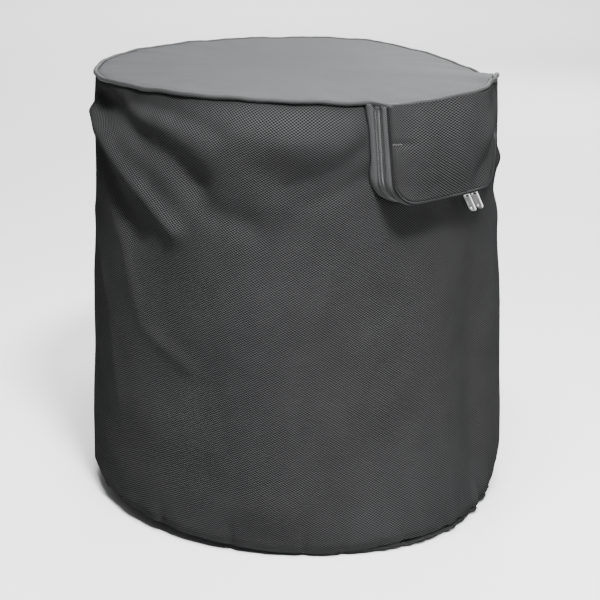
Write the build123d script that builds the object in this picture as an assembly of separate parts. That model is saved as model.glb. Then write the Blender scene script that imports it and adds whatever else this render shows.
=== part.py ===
from build123d import *
import math
import os

# Round fabric grill cover with a zipped hood that stands out from its wall.
# Frame: millimetres, +Z up, Z is the cover's own axis, the hem stands on Z = 0, the hood faces -Y.

os.makedirs("parts", exist_ok=True)

# ---- overall size ----
HEIGHT = 482.0  # floor to the top of the piping
TOP_R = 220.0  # outside radius of the wall at the top seam
BOTTOM_R = 239.0  # outside radius the wall flares to at the floor
CLOTH = 1.6  # thickness of the coated woven cloth
TAPE = 1.2  # thickness of the binding sewn over the inside seams

# ---- hem ----
HEM_DEPTH = 20.0  # width of the casing lying on the floor
HEM_HIGH = 5.0  # height of the casing
HEM_TURN_R = 19.0  # radius the wall turns inwards with
HEM_LAP = 8.0  # width of the wall sewn onto the casing

# ---- piping round the top ----
PIPE_R = 2.2
PIPE_CORE_R = 1.4

# ---- hood ----
HOOD_DROP = 102.0  # from the top seam to the hood's underside
HOOD_HALF_TOP = 88.0  # half width at the top seam
HOOD_HALF_BOTTOM = 85.0  # half width at the underside
HOOD_CORNER = 26.0  # radius of the two lower corners
HOOD_REACH_TOP = 21.0  # how far the front stands out from the wall at the top
HOOD_REACH_BOTTOM = 26.0  # and at the underside
LOBE_OUTER_R = 5.0  # plan rounding where the top panel's lobe turns its corners
LOBE_INNER_R = 6.0
SEAM_BINDING = 8.0  # width of the binding inside the flap's seam
HEADER_DROP = 10.0  # height of the tape behind the front's top edge
HEADER_THICK = 1.2
HEADER_GAP = 0.4  # clear of the piping

# ---- bindings inside the wall ----
BACK_SLIT = 0.6  # gap between the two edges of the wall at the back seam
BACK_BINDING = 22.0  # width of the binding over that seam
BACK_BINDING_DROP = 20.0  # its upper end, down from the top
TOP_BINDING_DROP = 17.0  # lower edge of the binding under the top seam, down from the top

# ---- zip ----
TAPE_HALF = 6.0  # from the zip's middle to the edge of its tape
ZIP_TAPE = 1.0
TAPE_SINK = 0.3  # the tape lies this far under the cloth's face
COIL_HALF = 2.7
COIL_HIGH = 1.7
ZIP_GAP = 0.5  # half the gap between the two coils
STOP_LONG = 3.0
STOP_HALF = 3.2
STOP_HIGH = 2.1

# ---- sliders and pull tabs ----
SLIDER_LONG = 13.0
SLIDER_HALF = 4.6  # half width at the head
SLIDER_TAIL_HALF = 3.9
SLIDER_PLATE = 1.3
SLIDER_INNER_PLATE = 1.0
SLIDER_FIT = 0.15  # clearance to the coil and the tape
POST_HALF = 0.35
SLIDER_LEFT_AT = 22.34  # along the zip from the hood's middle
SLIDER_RIGHT_AT = 35.99
BRIDGE_HALF = 4.0
BRIDGE_WIDE = 2.4
BRIDGE_HIGH = 3.5
BRIDGE_THICK = 1.2
BRIDGE_ROUND = 1.4
TAB_LONG = 27.0
TAB_HALF = 4.2
TAB_THICK = 1.5
TAB_BAR_R = 0.75
TAB_WINDOW_HALF = 2.6
TAB_WINDOW_LONG = 7.0
TAB_PANEL_LONG = 10.0  # length of the shallow panel pressed into each face
TAB_PANEL_DEEP = 0.15
TAB_HOLE_R = 1.8
TAB_LEAN = 35.0  # degrees the tabs lean along the zip

# ---- the flap's dart ----
DART_DROP = 40.0
DART_LONG = 9.0
DART_THICK = 0.7  # height of the stitches over the cloth, and half their width
DART_INSET = 2.0

# ---- worked out from the above ----
HOOD_Z = HEIGHT - HOOD_DROP
HOOD_TOP = HEIGHT - 2 * PIPE_R - 0.3
WALL_SLOPE = (BOTTOM_R - TOP_R) / HEIGHT
FRONT_SLOPE = WALL_SLOPE + (HOOD_REACH_BOTTOM - HOOD_REACH_TOP) / HOOD_DROP
FRONT_TOP_R = TOP_R + HOOD_REACH_TOP
FAR = 2 * BOTTOM_R


def wall_r(z):
    """Outside radius of the wall at height z."""
    return TOP_R + WALL_SLOPE * (HEIGHT - z)


def front_r(z):
    """Outside radius of the hood's front at height z."""
    return FRONT_TOP_R + FRONT_SLOPE * (HEIGHT - z)


def zip_r(z):
    """Radius of the zip's middle, halfway across the gusset."""
    return (wall_r(z) + front_r(z)) / 2


def band(inner, inner_by, outer, outer_by, low, high):
    """A ring between two flared surfaces, each moved out by its own amount."""
    ring = Polyline(
        (inner(low) + inner_by, low),
        (outer(low) + outer_by, low),
        (outer(high) + outer_by, high),
        (inner(high) + inner_by, high),
        close=True,
    )
    return revolve(Plane.XZ * make_face(ring), Axis.Z, 360)


def hood_prism(grow):
    """Everything inside the hood's front outline, grown by an amount all round."""
    outline = Polyline(
        (HOOD_HALF_TOP + grow, HEIGHT),
        (HOOD_HALF_BOTTOM + grow, HOOD_Z - grow),
        (-HOOD_HALF_BOTTOM - grow, HOOD_Z - grow),
        (-HOOD_HALF_TOP - grow, HEIGHT),
        close=True,
    )
    face = make_face(outline)
    low = face.vertices().group_by(Axis.Y)[0]
    face = fillet(low, HOOD_CORNER + grow)
    return extrude(Plane.XZ * face, FAR)


def hood_sleeve(near, far):
    """The band of the hood's sides and underside between two amounts of growth."""
    return hood_prism(far) - hood_prism(near)


def top_outline(grow):
    """Plan of the top panel: a circle with the hood's lobe."""
    lobe = Circle(FRONT_TOP_R) & (Pos(0, -FAR / 2) * Rectangle(2 * HOOD_HALF_TOP, FAR))
    plan = Circle(TOP_R) + lobe
    corners = plan.vertices().sort_by(Axis.Y)
    outer = [v for v in corners if v.center().length > FRONT_TOP_R - 1]
    plan = fillet(outer, LOBE_OUTER_R)
    turns = plan.vertices().filter_by(lambda v: abs(v.center().length - TOP_R) < 0.01)
    turns = [v for v in turns if v.Y < -TOP_R / 2]
    plan = fillet(turns, LOBE_INNER_R)
    return offset(plan, grow) if grow else plan


def slab(plan, low, high):
    return extrude(Pos(0, 0, low) * plan, high - low)


# ---- top ----
edge = top_outline(0)
path = Pos(0, 0, HEIGHT - PIPE_R) * edge.faces()[0].outer_wire()
pipe_plane = Plane(path @ 0, z_dir=path % 0)
pipe_full = sweep(pipe_plane * Circle(PIPE_R), path)
piping_cord = sweep(pipe_plane * Circle(PIPE_CORE_R), path)
piping_cover = pipe_full - piping_cord
top_panel = slab(edge, HEIGHT - CLOTH, HEIGHT) - pipe_full

# ---- wall, open behind the hood and seamed at the back ----
turn_z = HEM_HIGH + HEM_TURN_R
turn_r = wall_r(turn_z) - HEM_TURN_R
lap_r = turn_r - HEM_LAP
inner_turn = HEM_TURN_R - CLOTH
diagonal = math.sqrt(0.5)
wall_top = HEIGHT - PIPE_R
wall_lines = [
    Line((wall_r(wall_top), wall_top), (turn_r + HEM_TURN_R, turn_z)),
    ThreePointArc(
        (turn_r + HEM_TURN_R, turn_z),
        (turn_r + HEM_TURN_R * diagonal, turn_z - HEM_TURN_R * diagonal),
        (turn_r, HEM_HIGH),
    ),
    Line((turn_r, HEM_HIGH), (lap_r, HEM_HIGH)),
    Line((lap_r, HEM_HIGH), (lap_r, HEM_HIGH + CLOTH)),
    Line((lap_r, HEM_HIGH + CLOTH), (turn_r, HEM_HIGH + CLOTH)),
    ThreePointArc(
        (turn_r, HEM_HIGH + CLOTH),
        (turn_r + inner_turn * diagonal, turn_z - inner_turn * diagonal),
        (turn_r + inner_turn, turn_z),
    ),
    Line((turn_r + inner_turn, turn_z), (wall_r(wall_top) - CLOTH, wall_top)),
    Line((wall_r(wall_top) - CLOTH, wall_top), (wall_r(wall_top), wall_top)),
]
wall_face = make_face(Wire(wall_lines).edges())
wall_panel = revolve(Plane.XZ * wall_face, Axis.Z, 360)
wall_panel -= hood_prism(0)
wall_panel -= pipe_full
wall_panel -= Pos(0, BOTTOM_R, HEIGHT / 2) * Box(BACK_SLIT, BOTTOM_R / 3, 2 * HEIGHT)

back_low = turn_z + 2
back_high = HEIGHT - BACK_BINDING_DROP
back_seam_binding = band(wall_r, -CLOTH - TAPE, wall_r, -CLOTH, back_low, back_high)
back_seam_binding &= Pos(0, BOTTOM_R, HEIGHT / 2) * Box(BACK_BINDING, BOTTOM_R / 3, HEIGHT)

binding_low = HEIGHT - TOP_BINDING_DROP
binding_high = HEIGHT - 2 * PIPE_R - 0.2
top_seam_binding = band(wall_r, -CLOTH - TAPE, wall_r, -CLOTH, binding_low, binding_high)
top_seam_binding -= hood_prism(2)

# ---- hem ----
hem_mid = lap_r + HEM_DEPTH / 2 - 3
casing = Pos(hem_mid, HEM_HIGH / 2) * RectangleRounded(HEM_DEPTH, HEM_HIGH, 1.8)
room = Pos(hem_mid, HEM_HIGH / 2) * Rectangle(HEM_DEPTH - 2 * CLOTH - 2, HEM_HIGH - 2 * CLOTH)
hem_casing = revolve(Plane.XZ * (casing - room), Axis.Z, 360)
hem_elastic = revolve(Plane.XZ * room, Axis.Z, 360)

# ---- fixed half of the gusset ----
gusset_cloth = hood_sleeve(-CLOTH, 0)
tape_layer = hood_sleeve(-TAPE_SINK - ZIP_TAPE, -TAPE_SINK)
coil_layer = hood_sleeve(-TAPE_SINK, COIL_HIGH - TAPE_SINK)
stop_layer = hood_sleeve(-TAPE_SINK, STOP_HIGH - TAPE_SINK)
low = HOOD_Z - 10
coil_top = HOOD_TOP - STOP_LONG - 1

gusset_fixed = gusset_cloth & band(wall_r, -CLOTH, zip_r, -TAPE_HALF, low, HOOD_TOP)
zip_tape_fixed = tape_layer & band(zip_r, -TAPE_HALF, zip_r, -ZIP_GAP, low, HOOD_TOP)
zip_coil_fixed = coil_layer & band(zip_r, -COIL_HALF, zip_r, -ZIP_GAP, low, coil_top)
stop_ring = band(zip_r, -STOP_HALF, zip_r, -ZIP_GAP, coil_top, coil_top + STOP_LONG)
zip_stops_fixed = stop_layer & stop_ring

header_low = HEIGHT - CLOTH - HEADER_DROP
header_in = -PIPE_R - HEADER_GAP
hood_header = band(
    front_r, header_in - HEADER_THICK, front_r, header_in, header_low, HEIGHT - CLOTH
)
hood_header &= hood_prism(-2 * CLOTH)

# ---- flap: the hood's front with the moving half of the gusset ----
flap_panel = band(front_r, -CLOTH, front_r, 0, low, HOOD_TOP) & hood_prism(0)
flap_gusset = gusset_cloth & band(zip_r, TAPE_HALF, front_r, -CLOTH, low, HOOD_TOP)
binding_layer = hood_sleeve(-CLOTH - TAPE, -CLOTH)
flap_ring = band(front_r, -CLOTH - SEAM_BINDING + 2, front_r, -CLOTH, low, HOOD_TOP)
flap_seam_binding = binding_layer & flap_ring
zip_tape_flap = tape_layer & band(zip_r, ZIP_GAP, zip_r, TAPE_HALF, low, HOOD_TOP)
zip_coil_flap = coil_layer & band(zip_r, ZIP_GAP, zip_r, COIL_HALF, low, coil_top)
stop_ring = band(zip_r, ZIP_GAP, zip_r, STOP_HALF, coil_top, coil_top + STOP_LONG)
zip_stops_flap = stop_layer & stop_ring

dart_z = HEIGHT - DART_DROP
dart_ring = band(front_r, 0, front_r, DART_THICK, dart_z - DART_THICK, dart_z + DART_THICK)
dart_x = -HOOD_HALF_BOTTOM + DART_INSET + DART_LONG / 2
flap_dart_tack = dart_ring & (Pos(dart_x, -FAR / 2, dart_z) * Box(DART_LONG, FAR, 10))

# ---- sliders: modelled with the zip along X and its outer face looking down ----
coil_face = -(COIL_HIGH - TAPE_SINK)
plate_top = coil_face - SLIDER_FIT
plate_low = plate_top - SLIDER_PLATE
flange_top = TAPE_SINK - SLIDER_FIT
inner_low = TAPE_SINK + ZIP_TAPE + SLIDER_FIT
inner_top = inner_low + SLIDER_INNER_PLATE
flange_half = COIL_HALF + 2 * SLIDER_FIT
bar_z = plate_low - (BRIDGE_HIGH - BRIDGE_THICK) / 2
end = SLIDER_LONG / 2


def make_slider():
    """Body with its head towards +X."""
    plan = make_face(
        Polyline(
            (-end, -SLIDER_TAIL_HALF + 0.6),
            (-end + 1, -SLIDER_TAIL_HALF),
            (0.5, -SLIDER_TAIL_HALF),
            (3.5, -SLIDER_HALF),
            (end - 0.8, -SLIDER_HALF),
            (end, -SLIDER_HALF + 1.4),
            (end - 1.6, 0),
            (end, SLIDER_HALF - 1.4),
            (end - 0.8, SLIDER_HALF),
            (3.5, SLIDER_HALF),
            (0.5, SLIDER_TAIL_HALF),
            (-end + 1, SLIDER_TAIL_HALF),
            (-end, SLIDER_TAIL_HALF - 0.6),
            close=True,
        )
    )
    outer = slab(plan, plate_low, flange_top)
    outer -= Pos(0, 0, plate_top) * Box(
        2 * SLIDER_LONG, 2 * flange_half, 10, align=(Align.CENTER, Align.CENTER, Align.MIN)
    )
    outer = chamfer(outer.faces().sort_by(Axis.Z)[0].edges(), 0.3)
    inner_plan = RectangleRounded(SLIDER_LONG - 2, 2 * SLIDER_TAIL_HALF - 0.6, 1.2)
    inner = slab(inner_plan, inner_low, inner_top)
    post = slab(Pos(2.3, 0) * Rectangle(4.0, 2 * POST_HALF), plate_top, inner_low)
    return outer + inner + post


def make_bridge():
    """Arch the pull tab hangs from."""
    arch = Pos(0, 0, plate_low - BRIDGE_HIGH / 2) * Box(2 * BRIDGE_HALF, BRIDGE_WIDE, BRIDGE_HIGH)
    arch = fillet(arch.edges().filter_by(Axis.Y).group_by(Axis.Z)[0], BRIDGE_ROUND)
    hole = Box(2 * (BRIDGE_HALF - BRIDGE_THICK), 2 * BRIDGE_WIDE, BRIDGE_HIGH - BRIDGE_THICK)
    return arch - Pos(0, 0, bar_z) * hole


def make_tab():
    """Pull tab hanging straight down from the origin, which is the middle of its bar."""
    long = TAB_LONG + TAB_BAR_R
    body = Pos(0, -long / 2 + TAB_BAR_R) * Rectangle(2 * TAB_HALF, long)
    body = fillet(body.vertices().group_by(Axis.Y)[0], TAB_HALF - 0.01)
    body = fillet(body.vertices().group_by(Axis.Y)[-1], 1.0)
    window = Pos(0, -TAB_WINDOW_LONG / 2 + 1) * Rectangle(
        2 * TAB_WINDOW_HALF, TAB_WINDOW_LONG + 2
    )
    hole = Pos(0, -TAB_LONG + TAB_HALF) * Circle(TAB_HOLE_R)
    plate = extrude(body - window - hole, TAB_THICK / 2, both=True)
    panel = RectangleRounded(2 * TAB_WINDOW_HALF, TAB_PANEL_LONG, 0.8)
    panel = Pos(0, -TAB_WINDOW_LONG - 2 - TAB_PANEL_LONG / 2) * panel
    for side in (-1, 1):
        sunk = Pos(0, 0, side * (TAB_THICK / 2 - TAB_PANEL_DEEP))
        plate -= sunk * extrude(panel, 2 * TAB_PANEL_DEEP * side)
    bar = Rot(0, 90, 0) * Cylinder(TAB_BAR_R, 2 * TAB_WINDOW_HALF)
    return Rot(0, 0, 90) * Rot(90, 0, 0) * (plate + bar)


def on_zip(shape, at):
    """Moves a shape from the zip's straight frame to a length along the curved zip."""
    turn = math.degrees(at / zip_r(HOOD_Z))
    return Rot(0, 0, turn) * Pos(0, -zip_r(HOOD_Z), HOOD_Z) * shape


slider = make_slider()
bridge = make_bridge()
tab = Pos(0, 0, bar_z) * Rot(0, -TAB_LEAN, 0) * make_tab()
slider_body_left = on_zip(slider, SLIDER_LEFT_AT)
slider_body_right = on_zip(Rot(0, 0, 180) * slider, SLIDER_RIGHT_AT)
slider_bridge_left = on_zip(bridge, SLIDER_LEFT_AT)
slider_bridge_right = on_zip(bridge, SLIDER_RIGHT_AT)
pull_tab_left = on_zip(tab, SLIDER_LEFT_AT)
pull_tab_right = on_zip(tab, SLIDER_RIGHT_AT)

nodes = {
    "top_panel": top_panel,
    "piping_cover": piping_cover,
    "piping_cord": piping_cord,
    "top_seam_binding": top_seam_binding,
    "wall_panel": wall_panel,
    "back_seam_binding": back_seam_binding,
    "hem_casing": hem_casing,
    "hem_elastic": hem_elastic,
    "gusset_fixed": gusset_fixed,
    "zip_tape_fixed": zip_tape_fixed,
    "zip_coil_fixed": zip_coil_fixed,
    "zip_stops_fixed": zip_stops_fixed,
    "hood_header": hood_header,
    "flap_panel": flap_panel,
    "flap_gusset": flap_gusset,
    "flap_seam_binding": flap_seam_binding,
    "zip_tape_flap": zip_tape_flap,
    "zip_coil_flap": zip_coil_flap,
    "zip_stops_flap": zip_stops_flap,
    "flap_dart_tack": flap_dart_tack,
    "slider_body_left": slider_body_left,
    "slider_bridge_left": slider_bridge_left,
    "pull_tab_left": pull_tab_left,
    "slider_body_right": slider_body_right,
    "slider_bridge_right": slider_bridge_right,
    "pull_tab_right": pull_tab_right,
}
for name, shape in nodes.items():
    box = shape.bounding_box()
    print(f"{name:20s} {shape.volume:10.1f} mm3, solids {len(shape.solids())}, {box.min} {box.max}")
    export_step(shape, f"parts/{name}.step")
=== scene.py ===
# %% [markdown]
# # A round grill cover
#
# The cover is a tube of heavy black cloth with a flat top, a piped seam round the top and an
# elastic hem. A box-shaped hood with a zip round three sides stands out from its wall.
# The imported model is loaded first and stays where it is. Everything new is built in metres
# in the same frame: +Z is up, Z is the cover's own axis, and the hood faces -Y.

# %% Load the fixed frame
import math

import bmesh
import bpy
import numpy as np
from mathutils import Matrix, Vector, noise


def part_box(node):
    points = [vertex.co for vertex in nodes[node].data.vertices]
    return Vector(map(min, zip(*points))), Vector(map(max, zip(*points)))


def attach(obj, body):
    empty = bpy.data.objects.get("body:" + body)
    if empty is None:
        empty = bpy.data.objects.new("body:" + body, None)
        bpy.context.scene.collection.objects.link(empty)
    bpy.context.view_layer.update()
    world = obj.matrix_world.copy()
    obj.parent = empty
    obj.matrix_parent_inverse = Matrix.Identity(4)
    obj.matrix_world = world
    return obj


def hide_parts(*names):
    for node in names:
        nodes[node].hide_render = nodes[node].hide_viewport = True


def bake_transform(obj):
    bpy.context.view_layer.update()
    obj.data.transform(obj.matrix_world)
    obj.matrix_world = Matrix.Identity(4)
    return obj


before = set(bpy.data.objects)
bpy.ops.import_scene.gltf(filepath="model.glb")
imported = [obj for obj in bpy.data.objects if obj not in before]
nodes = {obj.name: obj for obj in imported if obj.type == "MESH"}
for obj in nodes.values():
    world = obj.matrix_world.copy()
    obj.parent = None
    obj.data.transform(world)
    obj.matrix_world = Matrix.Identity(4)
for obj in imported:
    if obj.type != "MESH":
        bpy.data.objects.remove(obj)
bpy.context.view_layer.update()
bpy.ops.object.select_all(action="DESELECT")
print("nodes loaded:", len(nodes))

# %% [markdown]
# ## Sizes
# Every size that the CAD already settles is read back from its nodes, so the cloth always
# lands on the frame. Angles are degrees round the cover, counted from the hood's middle at -Y
# towards +X. One helper turns an angle and a radius into a place.

# %% Read the driving sizes
MM = 0.001
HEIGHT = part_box("top_panel")[1].z
TOP_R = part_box("top_panel")[1].x
FRONT_TOP_R = -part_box("top_panel")[0].y
PIPE_R = (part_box("piping_cover")[1].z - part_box("piping_cover")[0].z) / 2
HOOD_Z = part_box("gusset_fixed")[0].z
HOOD_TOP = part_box("flap_panel")[1].z
FRONT_LOW_R = -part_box("flap_panel")[0].y
FLARE = 0.0394  # how much the wall's radius grows per metre down
HALF_TOP, HALF_LOW, CORNER = 88 * MM, 85 * MM, 26 * MM  # the hood's half widths and its corner
print("height", round(HEIGHT, 4), "top radius", round(TOP_R, 4), "hood underside", round(HOOD_Z, 4))


# %% Round-the-cover helpers
def around(degrees, radius, z):
    """Places at an angle round the cover, as an (n, 3) array."""
    a = np.radians(degrees)
    return np.stack([radius * np.sin(a), -radius * np.cos(a), z + 0 * a], axis=-1)


def ease(x):
    """0 below 0, 1 above 1, and a smooth rise between."""
    x = np.clip(x, 0, 1)
    return x * x * (3 - 2 * x)


def hill(x, middle, width):
    return np.exp(-(((x - middle) / width) ** 2))


def turn_gap(degrees, middle):
    """The shortest way round from one angle to another, in degrees."""
    return (degrees - middle + 180) % 360 - 180


def straight_wall(z):
    return TOP_R + FLARE * (HEIGHT - z)


def front_radius(z):
    return FRONT_TOP_R + (FRONT_LOW_R - FRONT_TOP_R) * (HEIGHT - z) / (HEIGHT - HOOD_Z)


def zip_radius(z):
    return (straight_wall(z) + front_radius(z)) / 2


# %% [markdown]
# ## The camera and the studio
# The camera stands a little above the cover's top and looks down on it, to the left of the
# hood, so that the hood's zipped side faces it. A long lens from a metre and a half away
# keeps the sides nearly upright. Depth of field stays off.

# %% Camera
CAMERA_AT = -42.0
CAMERA_AWAY = 1.65
CAMERA_UP = 0.744
CAMERA_DOWN = 18.0
CAMERA_LENS = 89.4
CAMERA_SHIFT = 0.0073
camera_data = bpy.data.cameras.new("camera")
camera_data.lens = CAMERA_LENS
camera_data.sensor_width = 36
camera_data.shift_x = CAMERA_SHIFT
camera = bpy.data.objects.new("camera", camera_data)
bpy.context.scene.collection.objects.link(camera)
camera.location = around(CAMERA_AT, CAMERA_AWAY, CAMERA_UP)
camera.rotation_euler = (math.radians(90 - CAMERA_DOWN), 0, math.radians(CAMERA_AT))
bpy.context.scene.camera = camera
print("camera at", [round(v, 3) for v in camera.location])

# %% [markdown]
# Black cloth needs light that shows its folds. The key and the light above stand high in
# front, a weaker one fills in from the right, and one behind gives the top a soft sheen. A
# narrow spot lifts the full, rounded cloth under the top seam. The backdrop light brightens
# the pale floor behind the cover, and a dim sky keeps the shadows open.


# %% Lights, floor and world
def add_lamp(name, data, place, aim):
    lamp = bpy.data.objects.new(name, data)
    bpy.context.scene.collection.objects.link(lamp)
    lamp.location = place
    lamp.rotation_euler = (Vector(aim) - lamp.location).to_track_quat("-Z", "Y").to_euler()


# name, angle round the cover, distance out, height, size, watts, distance out and height aimed at
SOFT_LIGHTS = [
    ("light_behind", 116, 2.6, 1.5, 2.0, 60, 0.0, 0.45),
    ("light_above", -45, 0.6, 2.4, 0.8, 125, 0.0, 0.3),
    ("light_key", -26, 1.6, 2.3, 0.4, 235, 0.0, 0.27),
    ("light_right", 40, 2.3, 0.7, 0.6, 36, 0.0, 0.25),
    ("light_backdrop", 138, 4.6, 3.2, 3.0, 420, 4.7, 0.0),
]
for name, degrees, away, up, size, watts, aim_away, aim_up in SOFT_LIGHTS:
    light = bpy.data.lights.new(name, "AREA")
    light.shape = "DISK"
    light.size = size
    light.energy = watts
    add_lamp(name, light, around(degrees, away, up), around(degrees, aim_away, aim_up))

spot = bpy.data.lights.new("light_spot", "SPOT")
spot.energy = 95
spot.spot_size = math.radians(21)
spot.spot_blend = 1.0
spot.shadow_soft_size = 0.12
add_lamp("light_spot", spot, around(-42, 1.1, 1.75), around(-40, 0.235, 0.425))

sky = bpy.data.lights.new("sky", "SUN")
sky.energy = 0.42
sky.angle = math.radians(70)
bpy.context.scene.collection.objects.link(bpy.data.objects.new("sky", sky))

world = bpy.data.worlds.new("studio")
world.use_nodes = True
world.node_tree.nodes["Background"].inputs["Color"].default_value = (0.94, 0.95, 0.97, 1)
world.node_tree.nodes["Background"].inputs["Strength"].default_value = 0.2
bpy.context.scene.world = world

bpy.ops.mesh.primitive_plane_add(size=40, location=(0, 0, 0))
floor = bpy.context.object
floor.name = "studio_floor"
floor_paint = bpy.data.materials.new("floor_paint")
floor_paint.use_nodes = True
floor_shader = floor_paint.node_tree.nodes["Principled BSDF"]
floor_shader.inputs["Base Color"].default_value = (0.62, 0.62, 0.62, 1)
floor_shader.inputs["Roughness"].default_value = 0.9
floor.data.materials.append(floor_paint)

# %% [markdown]
# ## Materials
# The cloth is a coarse woven polyester. Up close it is a lattice of raised dots where one
# yarn crosses over another, set at a slant to the cut. Two sine waves multiplied together
# give such a lattice; it reads the piece's own UV map, which is kept in metres of flat cloth,
# so the weave has one true size everywhere. The dots lift the bump and lighten the colour a
# little as a painted highlight, the glint raised yarn catches; a slow noise keeps large areas from
# looking printed.


# %% Material helpers
class Nodes:
    """A short way to wire a node tree."""

    def __init__(self, name):
        self.material = bpy.data.materials.new(name)
        self.material.use_nodes = True
        self.tree = self.material.node_tree
        self.shader = self.tree.nodes["Principled BSDF"]

    def add(self, kind, **settings):
        node = self.tree.nodes.new("ShaderNode" + kind)
        for key, value in settings.items():
            setattr(node, key, value)
        return node

    def math(self, operation, a, b=0.0):
        node = self.add("Math", operation=operation)
        for socket, value in zip(node.inputs, (a, b)):
            if isinstance(value, (int, float)):
                socket.default_value = value
            else:
                self.tree.links.new(value, socket)
        return node.outputs[0]

    def link(self, a, b):
        self.tree.links.new(a, b)

    def ramp(self, factor, stops):
        node = self.add("ValToRGB")
        node.color_ramp.elements[0].position = stops[0][0]
        node.color_ramp.elements[0].color = (*stops[0][1], 1)
        node.color_ramp.elements[1].position = stops[-1][0]
        node.color_ramp.elements[1].color = (*stops[-1][1], 1)
        for place, colour in stops[1:-1]:
            node.color_ramp.elements.new(place).color = (*colour, 1)
        self.link(factor, node.inputs[0])
        return node.outputs[0]

    def bump(self, height, distance, strength):
        node = self.add("Bump")
        node.inputs["Distance"].default_value = distance
        node.inputs["Strength"].default_value = strength
        self.link(height, node.inputs["Height"])
        self.link(node.outputs[0], self.shader.inputs["Normal"])


def woven(name, dark, light, pitch, slant=4.0, gloss=0.16, roughness=0.6, relief=0.35):
    """Coarse cloth: staggered yarn crossings, read from a UV map in metres."""
    n = Nodes(name)
    uv = n.add("UVMap", uv_map="cloth")
    turned = n.add("Mapping")
    turned.inputs["Rotation"].default_value = (0, 0, math.radians(slant))
    n.link(uv.outputs[0], turned.inputs[0])
    axes = n.add("SeparateXYZ")
    n.link(turned.outputs[0], axes.inputs[0])
    warp = n.math("SINE", n.math("MULTIPLY", axes.outputs[0], 2 * math.pi / pitch[0]))
    weft = n.math("SINE", n.math("MULTIPLY", axes.outputs[1], 2 * math.pi / pitch[1]))
    crossing = n.math("MULTIPLY_ADD", n.math("MULTIPLY", warp, weft), 0.5)
    crossing.node.inputs[2].default_value = 0.5
    slow = n.add("TexNoise")
    slow.inputs["Scale"].default_value = 26
    slow.inputs["Detail"].default_value = 3
    n.link(uv.outputs[0], slow.inputs["Vector"])
    # Base colour: the yarn crossings are coloured lighter as a painted highlight, the glint raised
    # yarn catches; the slow noise adds random tone
    tone_and_painted_glint = n.math("MULTIPLY_ADD", slow.outputs[0], 0.14)
    n.link(n.math("POWER", crossing, 1.6), tone_and_painted_glint.node.inputs[2])
    n.link(n.ramp(tone_and_painted_glint, [(0.1, dark), (0.95, light)]), n.shader.inputs["Base Color"])
    n.shader.inputs["Roughness"].default_value = roughness
    n.shader.inputs["Specular IOR Level"].default_value = gloss
    n.bump(crossing, relief * MM, 0.8)
    return n.material


def ribbed(name, dark, light, pitch, roughness=0.7):
    """Narrow woven tape: fine ribs across a UV map in metres."""
    n = Nodes(name)
    uv = n.add("UVMap", uv_map="cloth")
    axes = n.add("SeparateXYZ")
    n.link(uv.outputs[0], axes.inputs[0])
    across = n.math("SINE", n.math("MULTIPLY", axes.outputs[0], 2 * math.pi / pitch))
    along = n.math("SINE", n.math("MULTIPLY", axes.outputs[1], 4 * math.pi / pitch))
    rib = n.math("MULTIPLY_ADD", n.math("MULTIPLY", across, along), 0.5)
    rib.node.inputs[2].default_value = 0.5
    n.link(n.ramp(rib, [(0.0, dark), (1.0, light)]), n.shader.inputs["Base Color"])
    n.shader.inputs["Roughness"].default_value = roughness
    n.shader.inputs["Sheen Weight"].default_value = 0.25
    n.bump(rib, 0.15 * MM, 0.6)
    return n.material


def speckled(name, dark, light, scale, roughness, metal=0.0):
    """Plastic or metal with fine handling marks in object coordinates."""
    n = Nodes(name)
    place = n.add("TexCoord")
    marks = n.add("TexNoise")
    marks.inputs["Scale"].default_value = scale
    marks.inputs["Detail"].default_value = 4
    n.link(place.outputs["Object"], marks.inputs["Vector"])
    n.link(n.ramp(marks.outputs[0], [(0.3, dark), (0.7, light)]), n.shader.inputs["Base Color"])
    rough = n.math("MULTIPLY_ADD", marks.outputs[0], 0.2)
    rough.node.inputs[2].default_value = roughness - 0.1
    n.link(rough, n.shader.inputs["Roughness"])
    n.shader.inputs["Metallic"].default_value = metal
    n.bump(marks.outputs[0], 0.03 * MM, 0.3)
    return n.material


# %% The finishes of this cover
WEAVE = (3.8 * MM, 2.6 * MM)
FINE_WEAVE = (2 * MM, 2 * MM)
STRIP_WEAVE = (2.0 * MM, 1.6 * MM)
cover_cloth = woven(
    "cover_cloth", (0.001, 0.001, 0.0011), (0.038, 0.0385, 0.039), WEAVE, gloss=0.0
)
# The top is the same cloth as the wall, coloured lighter: painted light for the sheen and the light
# from above on its upward face
top_cloth_painted_light = woven("top_cloth_painted_light", (0.0015, 0.0015, 0.0016), (0.050, 0.052, 0.056), WEAVE, gloss=0.06)
piping_cloth = woven("piping_cloth", (0.006, 0.006, 0.006), (0.04, 0.041, 0.042), FINE_WEAVE)
welt_cloth = woven(
    "welt_cloth", (0.003, 0.003, 0.003), (0.022, 0.022, 0.023), FINE_WEAVE, gloss=0.0
)
strip_cloth = woven(
    "strip_cloth", (0.012, 0.012, 0.012), (0.07, 0.071, 0.073), STRIP_WEAVE, gloss=0.0
)
seam_tape = ribbed("seam_tape", (0.006, 0.006, 0.007), (0.02, 0.02, 0.021), 1.4 * MM)
zip_tape_weave = ribbed(
    "zip_tape_weave", (0.008, 0.008, 0.0085), (0.045, 0.046, 0.047), 1.1 * MM
)
elastic_knit = ribbed("elastic_knit", (0.02, 0.02, 0.02), (0.05, 0.05, 0.05), 2.0 * MM)
coil_nylon = speckled("coil_nylon", (0.014, 0.014, 0.015), (0.05, 0.051, 0.053), 900, 0.35)
bright_nickel = speckled(
    "bright_nickel", (0.66, 0.66, 0.65), (0.84, 0.84, 0.83), 400, 0.34, metal=0.8
)
cord_cotton = ribbed("cord_cotton", (0.55, 0.54, 0.5), (0.75, 0.74, 0.7), 1.5 * MM)
print("materials made:", len(bpy.data.materials))

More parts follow.
